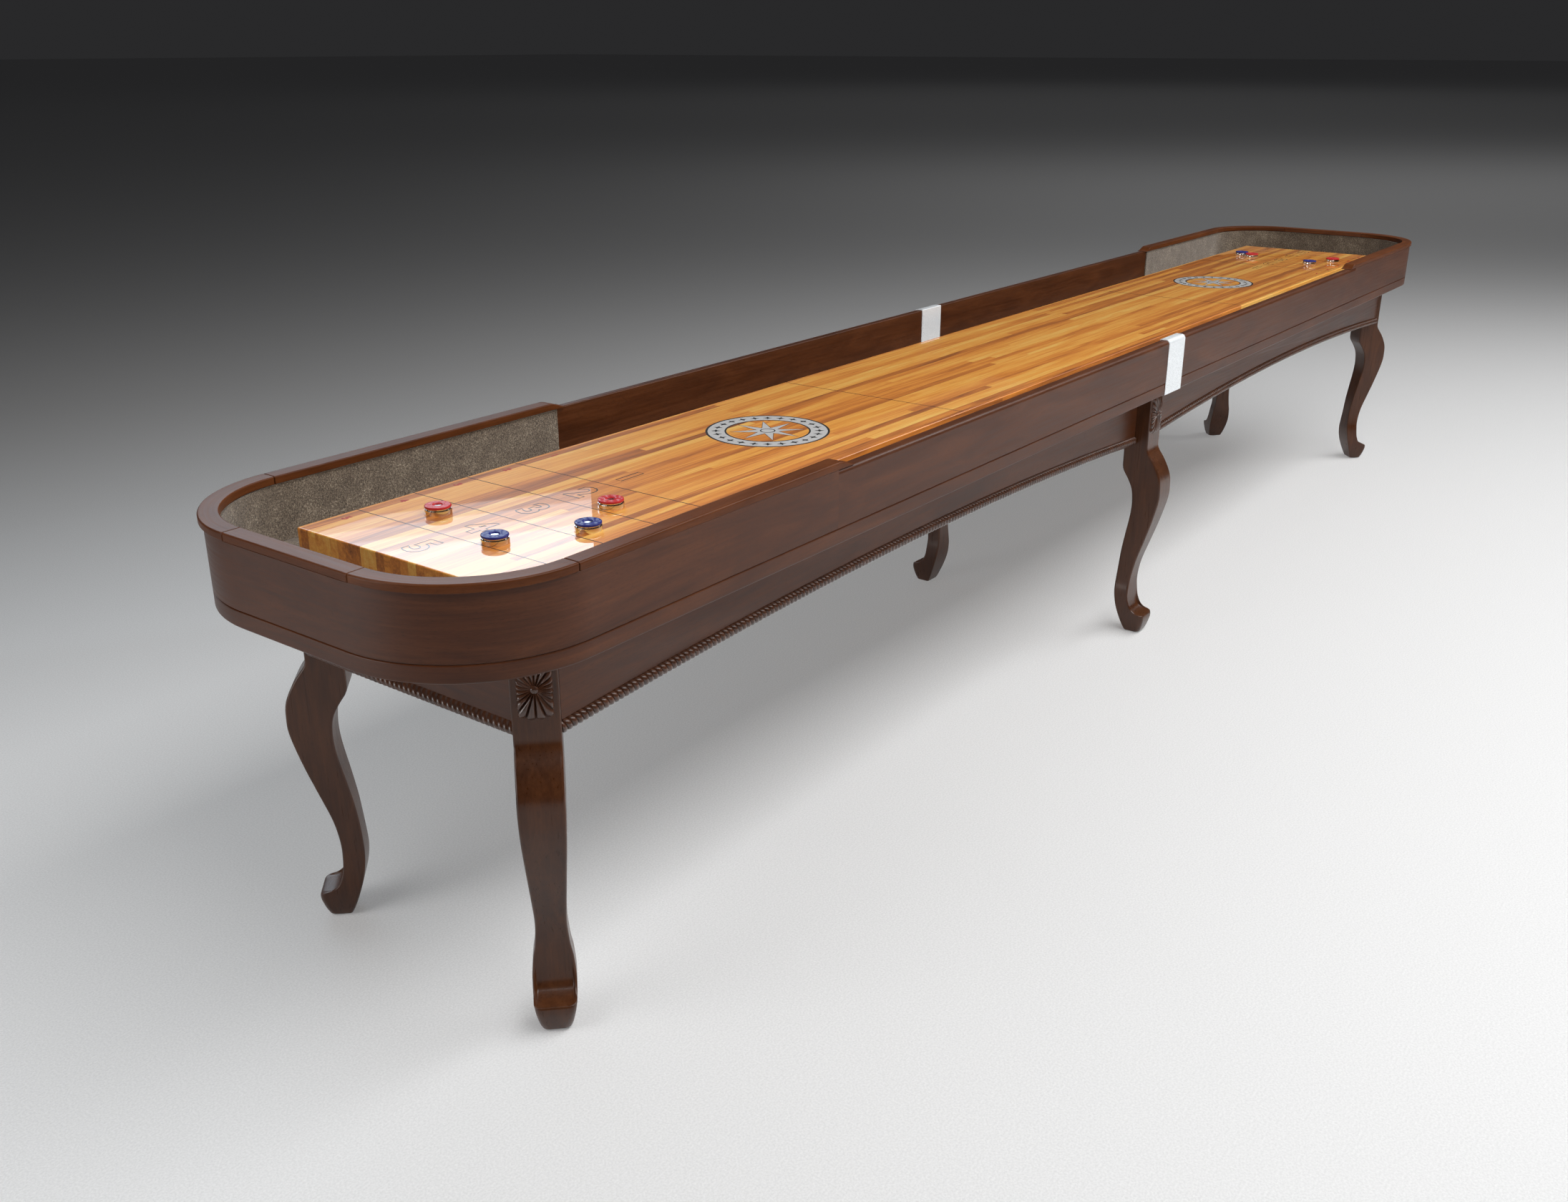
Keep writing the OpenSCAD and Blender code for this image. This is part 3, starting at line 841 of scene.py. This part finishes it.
def printing():
    """Foul lines, large outlined numerals and small red ones at the board's edge."""
    black, red = [], []
    for sx in (-1, 1):
        for x in LINE_X:
            line = [(sx * x, -BOARD_Y + 3.2), (sx * x, BOARD_Y - 3.2)]
            black.append(ribbon(line, LINE_W, closed=False))
        for digit, x in DIGIT_X.items():
            for loop in digit_outlines(digit, 66, 0.035):
                moved = [(sx * x - sx * px, -sx * py) for px, py in loop]
                black.append(ribbon(moved, 2.6))
            for loop in digit_outlines(digit, 17, 0.0):
                moved = [(sx * (x - 21) - sx * px, -sx * 232 - sx * py) for px, py in loop]
                red.append(ribbon(moved, 2.4))
    make("scoring_lines", *joined(black)[:2], BLACK_INK, "playfield")
    make("red_numerals", *joined(red)[:2], RED_INK, "playfield")


def star(cx, cy, r_out, r_in, tips, turn=0.0):
    """Outline of a star."""
    points = []
    for k in range(2 * tips):
        r = r_in if k % 2 else r_out
        a = math.pi * k / tips + turn
        points.append((cx + r * math.cos(a), cy + r * math.sin(a)))
    return points


def circle(cx, cy, r, n=96):
    return [(cx + r * math.cos(2 * math.pi * k / n), cy + r * math.sin(2 * math.pi * k / n))
            for k in range(n)]


def ring_plate(cx, cy, r0, r1):
    """A flat ring, half as thick as the lines that edge it."""
    top = BOARD_Z + INK_T / 2
    rings = [[(*a, BOARD_Z), (*b, BOARD_Z), (*b, top), (*a, top)]
             for a, b in zip(circle(cx, cy, r0), circle(cx, cy, r1))]
    return *loft(rings, closed=True), []


def emblems():
    """A plain compass star in a studded ring, at each end."""
    dark, pale = [], []
    ring_w = 42
    studs = 24
    for sx in (-1, 1):
        cx = sx * EMBLEM_X
        compass = star(cx, 0, 84, 26, 8)
        pale.append(ring_plate(cx, 0, EMBLEM_R - ring_w, EMBLEM_R))
        pale.append(plate(compass, thick=INK_T / 2))
        dark.append(ribbon(circle(cx, 0, EMBLEM_R), 5))
        dark.append(ribbon(circle(cx, 0, EMBLEM_R - ring_w), 4))
        dark.append(ribbon(compass, 3))
        dark.append(ribbon(circle(cx, 0, 16, 32), 3))
        for k in range(studs):
            a = 2 * math.pi * (k + 0.5) / studs
            r = EMBLEM_R - ring_w / 2
            dark.append(plate(star(cx + r * math.cos(a), r * math.sin(a), 11, 4.5, 4, a)))
    make("emblem_silver", *joined(pale)[:2], SILVER_INK, "playfield")
    make("emblem_black", *joined(dark)[:2], BLACK_INK, "playfield")


# ---------------------------------------------------------------------------
# Frame: rope mouldings, legs and rosettes
# ---------------------------------------------------------------------------
STRAND_PITCH = 12.6     # from one strand to the next along the rope
STRANDS = 2
POST_GAP = 0.2          # between a rope's end and the post


def rope(centre, length, out_limit):
    """A twisted rope along a curve.

    centre(s) gives the point at distance s and the outward direction; out_limit clips a vertex
    to the posts."""
    lead = STRAND_PITCH * STRANDS
    per_strand = 8
    m = STRANDS * per_strand
    count = int(length / 1.8)
    rings, grain = [], []
    for i in range(count + 1):
        s = length * i / count
        p, out = centre(s)
        ring = []
        for j in range(m):
            a = 2 * math.pi * (j / m + s / lead)
            lobe = math.sin(math.pi * (j % per_strand) / per_strand)
            r = ROPE_R * (0.70 + 0.30 * lobe ** 0.6)
            ring.append(out_limit(p + out * (r * math.cos(a)) + Vector((0, 0, r * math.sin(a)))))
            grain.append((s, r * 3, a * 8))
        rings.append(ring)
    verts, faces = loft(rings)
    return verts, faces, grain


def miter_x(y):
    """Where the side of a corner post meets a side apron's rope, at y."""
    return POST_X - POST_Y - POST_W * math.sqrt(0.5) + y


def miter_y(x):
    """Where the side of a corner post meets an end apron's rope, at x."""
    return x - (POST_X - POST_Y + POST_W * math.sqrt(0.5))


def side_ropes():
    """Four arched ropes, from the middle posts to the corner posts."""
    half = POST_W / 2
    bay_end = 2290
    mid, reach = (half + bay_end) / 2, (bay_end - half) / 2
    radius = (reach ** 2 + ARCH_RISE ** 2) / (2 * ARCH_RISE)
    top = SIDE_ROPE_Z + ARCH_RISE

    def centre(s):
        x = half + s
        z = top - radius + math.sqrt(radius ** 2 - (x - mid) ** 2)
        return Vector((x, ROPE_Y, z)), Vector((0, 1, 0))

    def clip(v):
        return Vector((min(v.x, miter_x(v.y) - POST_GAP), v.y, v.z))

    shape, faces, grain = rope(centre, miter_x(ROPE_Y + ROPE_R) - half, clip)
    parts = [([(sx * v[0], sy * v[1], v[2]) for v in shape], faces, grain)
             for sx in (-1, 1) for sy in (-1, 1)]
    verts, faces, grain = joined(parts)
    make("side_rope_carving", verts, faces, CARVED, "carving", grain=grain,
         replaces=("side_rope_mouldings",), sharp=60)


def end_ropes():
    """Two straight ropes between the corner posts."""
    reach = miter_y(ROPE_X + ROPE_R)

    def centre(s):
        return Vector((ROPE_X, s - reach, END_ROPE_Z)), Vector((1, 0, 0))

    def clip(v):
        limit = miter_y(v.x) - POST_GAP
        return Vector((v.x, min(max(v.y, -limit), limit), v.z))

    shape, faces, grain = rope(centre, 2 * reach, clip)
    parts = [([(sx * v[0], v[1], v[2]) for v in shape], faces, grain) for sx in (-1, 1)]
    verts, faces, grain = joined(parts)
    make("end_rope_carving", verts, faces, CARVED, "carving", grain=grain,
         replaces=("end_rope_mouldings",), sharp=60)


# Outline of a cabriole leg: distance from the post's face and height, foot upwards
FRONT = spline([
    (18, 3), (25, 20), (31, 44), (30, 56), (24, 60), (6, 65), (-7, 75), (-14, 88), (-19, 105),
    (-21, 135),
    (-19, 170), (-9, 220), (10, 280), (30, 345), (46, 410), (48, 445), (44, 480),
    (25, 520), (3, 551), (0, 568)], 6)
BACK = spline([
    (-26, 3), (-34, 20), (-46, 51), (-58, 90), (-64, 130), (-63, 175), (-57, 240),
    (-47, 300), (-36, 360), (-33, 400), (-37, 438), (-50, 466), (-66, 490), (-70, 505)], 6)
# Half-width of a leg and height
HALF = spline([
    (26, 3), (32, 25), (38, 60), (39, 90), (36, 125), (31, 155), (28, 200), (30, 250),
    (34, 320), (38, 390), (40, 450)], 6)

# Floor of the hollow in a toe, and the plan of the toe's lip
HOLLOW = spline([
    (28, 58.5), (20, 60), (2, 62.5), (-11, 69), (-18, 82), (-20.5, 100), (-21, 135)], 6)
LIP_U = 28
LIP_R = 12


def leg_ring(z, cut=0.0):
    """Section of a cabriole leg at height z: (outward, sideways) points.

    The toe's top is hollowed between thin side rims, and its lip is rounded in plan."""
    front, back, half = lookup(FRONT, z), lookup(BACK, z), lookup(HALF, z)
    # Radii of the front and back edges
    rf = 3.5 + 1.5 * smooth((z - 110) / 40) + 9 * (1 - smooth((z - 56) / 6))
    rf -= 2 * smooth((z - 540) / 30)
    rb = 5 - 3 * smooth((z - 540) / 30)
    front, back, half = front - cut, back + cut, half - cut
    deep = min(front, lookup(HOLLOW, z)) if z < HOLLOW[-1][1] else front
    ring = [(back + rb - rb * math.sin(a), -half + rb - rb * math.cos(a))
            for a in [math.pi / 2 * k / 4 for k in range(5)]][::-1]
    ring += [(front - rf + rf * math.sin(a), -half + rf - rf * math.cos(a))
             for a in [math.pi / 2 * k / 5 for k in range(6)]]
    wide = half - rf
    short = LIP_R - min(max(LIP_U - deep, 0), LIP_R)
    bowl = wide - LIP_R + math.sqrt(LIP_R ** 2 - short ** 2)
    for k in range(1, 32):
        v = -wide * math.cos(math.pi * k / 32)
        hollow = smooth((bowl - abs(v)) / 3.5)
        ring.append((front + (deep - front) * hollow, v))
    ring += [(front - rf + rf * math.cos(a), half - rf + rf * math.sin(a))
             for a in [math.pi / 2 * k / 5 for k in range(6)]]
    ring += [(back + rb - rb * math.sin(a), half - rb + rb * math.cos(a))
             for a in [math.pi / 2 * k / 4 for k in range(5)]]
    return ring


def legs():
    """Six cabriole legs, with closer rings where the toe turns."""
    heights = [FOOT_Z, FOOT_Z + 0.6, FOOT_Z + 2]
    heights += [8 + 6.0 * k for k in range(8)] + [54 + 0.75 * k for k in range(24)]
    heights += [73 + 2.0 * k for k in range(6)] + [86 + 4.0 * k for k in range(16)]
    heights += [152 + 8.0 * k for k in range(54)]
    heights += [600, 660, BASE_Z]
    cuts = {0: 2.5, 1: 1.0, 2: 0.2}  # the foot's eased bottom edge
    for name, (lx, ly, angle) in LEGS.items():
        c, s = math.cos(math.radians(angle)), math.sin(math.radians(angle))
        rings, grain = [], []
        for i, z in enumerate(heights):
            ring = leg_ring(max(z, FOOT_Z), cuts.get(i, 0))
            rings.append([(lx + u * c - v * s, ly + u * s + v * c, z) for u, v in ring])
            grain += [(z + 3 * lx, u + ly, v) for u, v in ring]
        verts, faces = loft(rings)
        make(f"leg_{name}_wood", verts, faces, LEG, "leg", grain=grain,
             replaces=(f"leg_{name}",), sharp=50)


ROSETTE_Z = 657
PETALS = 20
PANEL_W, PANEL_H = 60, 110
HUB_R = 7.2


def rosette_mesh():
    """A carved sunflower in (sideways, up, outward) coordinates."""
    per_petal, rows, hub_rows = 10, 16, 7
    around = PETALS * per_petal
    turns = [2 * math.pi * j / around for j in range(around)]
    petals, hub = [], []
    for i in range(rows + 1):
        t = i / rows  # from the hub to the panel's edge
        ring = []
        for j, a in enumerate(turns):
            across = (j % per_petal) / per_petal * 2 - 1
            edge = min(PANEL_W / 2 / max(abs(math.sin(a)), 1e-6),
                       PANEL_H / 2 / max(abs(math.cos(a)), 1e-6), 56)
            edge -= 3.0 * abs(across) ** 3
            r = 6 + (edge - 6) * t
            swell = 3.0 + 4.6 * math.sin(math.pi * min(t * 0.62, 0.5)) - 2.2 * t * t
            groove = (1 - abs(across) ** 2.2) ** 0.6
            rib = 0.9 * math.exp(-((across / 0.22) ** 2)) * (1 - t)
            h = (0.9 + swell * groove + rib) * math.sqrt(max(1 - t ** 9, 0))
            ring.append((r * math.sin(a), r * math.cos(a), h))
        petals.append(ring)
    for i in range(hub_rows):
        t = math.pi / 2 * i / hub_rows
        r, h = HUB_R * math.cos(t), 3.5 + 5.2 * math.sin(t)
        hub.append([(r * math.sin(a), r * math.cos(a), h) for a in turns])
    return joined([(*loft(petals), []), (*loft(hub), [])])[:2]


def rosettes():
    shape, faces = rosette_mesh()
    parts = []
    for lx, ly, angle in LEGS.values():
        c, s = math.cos(math.radians(angle)), math.sin(math.radians(angle))
        verts = [(lx + h * c - v * s, ly + h * s + v * c, ROSETTE_Z + up) for v, up, h in shape]
        grain = [(up + lx, v, h * 4) for v, up, h in shape]
        parts.append((verts, faces, grain))
    verts, faces, grain = joined(parts)
    make("rosette_carvings", verts, faces, CARVED, "carving", grain=grain,
         replaces=("rosettes",), sharp=55)


def levelers():
    """A pad and a threaded stem in each leg."""
    for name in LEGS:
        node = f"leveler_{name}"
        lo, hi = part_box(node)
        x, y = (lo.x + hi.x) / 2 / MM, (lo.y + hi.y) / 2 / MM
        r = (hi.x - lo.x) / 2 / MM
        profile = [(0, 0), (r - 1.2, 0), (r - 0.3, 0.3), (r, 1.0), (r, 2.0), (r - 0.6, 2.7),
                   (r - 1.5, 3), (5, 3), (5, 3.01)]
        profile += [(4.4 if k % 2 else 5, 3.2 + 0.75 * k) for k in range(52)]
        profile += [(4, 43), (0, 43)]
        verts, faces = lathe(profile, (x, y, 0), 32)
        make(node + "_turned", verts, faces, ZINC, "steel", body=f"foot_{name}",
             replaces=(node,))


# ---------------------------------------------------------------------------
# Pucks
# ---------------------------------------------------------------------------
def pucks():
    """Steel weights with a boss at the centre, under moulded caps."""
    for i in PUCK_NUMBERS:
        weight = f"puck_weight_{i}"
        lo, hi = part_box(weight)
        centre = ((lo.x + hi.x) / 2 / MM, (lo.y + hi.y) / 2 / MM, lo.z / MM)
        r = (hi.x - lo.x) / 2 / MM
        shell = [(0, 1.2), (r - 6, 1.2), (r - 5, 0.3), (r - 4, 0), (r - 1.2, 0), (r - 0.4, 0.3),
                 (r, 1.1), (r, 8.6), (r - 0.5, 9.6), (r - 2.4, 9.7), (r - 2.4, 12), (7.8, 12),
                 (7.8, 12.5), (7.4, 14.3), (6.6, 14.9), (0, 15)]
        verts, faces = lathe(shell, centre, 96)
        make(weight + "_turned", verts, faces, CHROME, "puck_steel", body=f"puck_{i}",
             replaces=(weight,), sharp=30)
        material, slot = (RED, "red_plastic") if i in RED_PUCKS else (BLUE, "blue_plastic")
        verts, faces = puck_cap(centre)
        make(f"puck_cap_{i}_moulded", verts, faces, material, slot, body=f"puck_{i}",
             replaces=(f"puck_cap_{i}",), sharp=40)


def puck_cap(centre):
    """A moulded ring with eight small raised pads."""
    n = 96
    rim = (high("puck_cap_1", X) - low("puck_cap_1", X)) / 2
    section = [(8.1, 12.1), (rim - 0.6, 12.1), (rim - 0.1, 12.6), (rim, 13.4), (rim, 15.2),
               (rim - 0.4, 16.0), (rim - 1.3, 16.5), (rim - 2.6, 16.55), (rim - 4.2, 16.2),
               (rim - 6.5, 16.2), (13.5, 16.3), (12, 16.9), (10.6, 17.0), (9.3, 16.6),
               (8.6, 15.6), (8.1, 14.2)]
    rings = []
    for k in range(n):
        a = 2 * math.pi * k / n
        ring = []
        for q, z in section:
            pad = 0.7 if 13.6 < q < rim - 3 and k % 12 in range(1, 7) else 0.0
            ring.append((centre[0] + q * math.cos(a), centre[1] + q * math.sin(a),
                         centre[2] + z + pad))
        rings.append(ring)
    return loft(rings, closed=True)


def hidden_parts():
    """Materials for the CAD nodes inside the frame."""
    finishes = {"cradle_beams": PINE, "leg_blocks": PINE, "climatic_adjusters": ZINC,
                "adjuster_bolts": ZINC, "leg_bolts": ZINC, "joint_plates": ZINC,
                "joint_bolts": ZINC}
    for node, material in finishes.items():
        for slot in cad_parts[node].material_slots:
            slot.material = material


low_rails()
end_walls()
corner_caps()
side_caps()
end_caps()
base_halves()
aprons()
centre_bands()
wall_carpets()
gutter_carpet()
playfield()
printing()
emblems()
side_ropes()
end_ropes()
legs()
rosettes()
levelers()
pucks()
hidden_parts()


# ---------------------------------------------------------------------------
# Floor, light and camera
# ---------------------------------------------------------------------------
def floor():
    """A pale plane that reaches the horizon."""
    reach = 150
    mesh = bpy.data.meshes.new("floor")
    mesh.from_pydata([(-reach, -reach, 0), (reach, -reach, 0), (reach, reach, 0),
                      (-reach, reach, 0)], [], [(0, 1, 2, 3)])
    n = Nodes("pale_floor")
    fleck = n.noise(n.place(), 260, 2, 0.6)
    n.set(Base_Color=n.ramp(fleck, (0.3, (0.66, 0.66, 0.66)), (0.7, (0.78, 0.78, 0.78))),
          Roughness=0.6)
    mesh.materials.append(n.mat)
    add_object("floor", mesh)


def area_light(name, place, aim, size, power, colour=(1, 1, 1), gloss_only=False, shadow=True):
    data = bpy.data.lights.new(name, "AREA")
    data.shape = "RECTANGLE"
    data.size, data.size_y = size
    data.energy = power
    data.color = colour
    light = add_object(name, data)
    light.location = place
    light.rotation_euler = (Vector(aim) - Vector(place)).to_track_quat("-Z", "Y").to_euler()
    light.visible_camera = False
    light.visible_diffuse = not gloss_only
    data.use_shadow = shadow


def softbox(name, bottom, height, power):
    """An upright panel beyond the left side, seen only in reflections."""
    z = bottom + height / 2
    area_light(name, (-0.25, 4.87, z), (-1.65, 2.21, z), (4.84, height), power,
               colour=(0.85, 1.0, 1.12), gloss_only=True)


def lighting():
    """A long light over the right side, low fills near and far, and a dark room."""
    bpy.context.scene.view_settings.view_transform = "Standard"
    world = bpy.data.worlds.new("studio")
    bpy.context.scene.world = world
    world.use_nodes = True
    world.node_tree.nodes["Background"].inputs[0].default_value = (0.022, 0.022, 0.023, 1)
    bottom, strip = 2.62, 0.07
    softbox("softbox", bottom, 4.38, 205)
    for k, share in enumerate((0.75, 0.5, 0.25)):
        softbox(f"softbox_edge_{k}", bottom - strip * (k + 1), strip, 3.2 * share)
    over_side = {"place": (0.7, -2.3, 3.9), "aim": (0.7, -2.28, 0.0), "size": (8.5, 2)}
    area_light("key", **over_side, power=255)
    area_light("open_shade", **over_side, power=265, shadow=False)
    area_light("near_fill", (-5.9, 1.9, 0.95), (-2.4, 0.0, 0.65), (2.5, 1.4), 48)
    area_light("near_wash", (-4.1, 0.5, 2.2), (-4.1, 0.52, 0.0), (1.5, 1.5), 20)
    area_light("far_wash", (15, 1.5, 7), (17, 3.5, 0), (14, 6), 115)
    area_light("backdrop_wash", (38, 14, 14), (38, 14.1, 0), (30, 30), 135)


def camera():
    """The viewpoint of a person standing off the near right corner."""
    data = bpy.data.cameras.new("camera")
    data.sensor_width = 36
    data.lens = 32.89
    eye = add_object("camera", data)
    eye.location = (-3.782, -1.8875, 1.6305)
    yaw, pitch = 0.642, 0.3723
    look = Vector((math.cos(yaw) * math.cos(pitch), math.sin(yaw) * math.cos(pitch),
                   -math.sin(pitch)))
    eye.rotation_euler = look.to_track_quat("-Z", "Y").to_euler()
    bpy.context.scene.camera = eye


floor()
lighting()
camera()
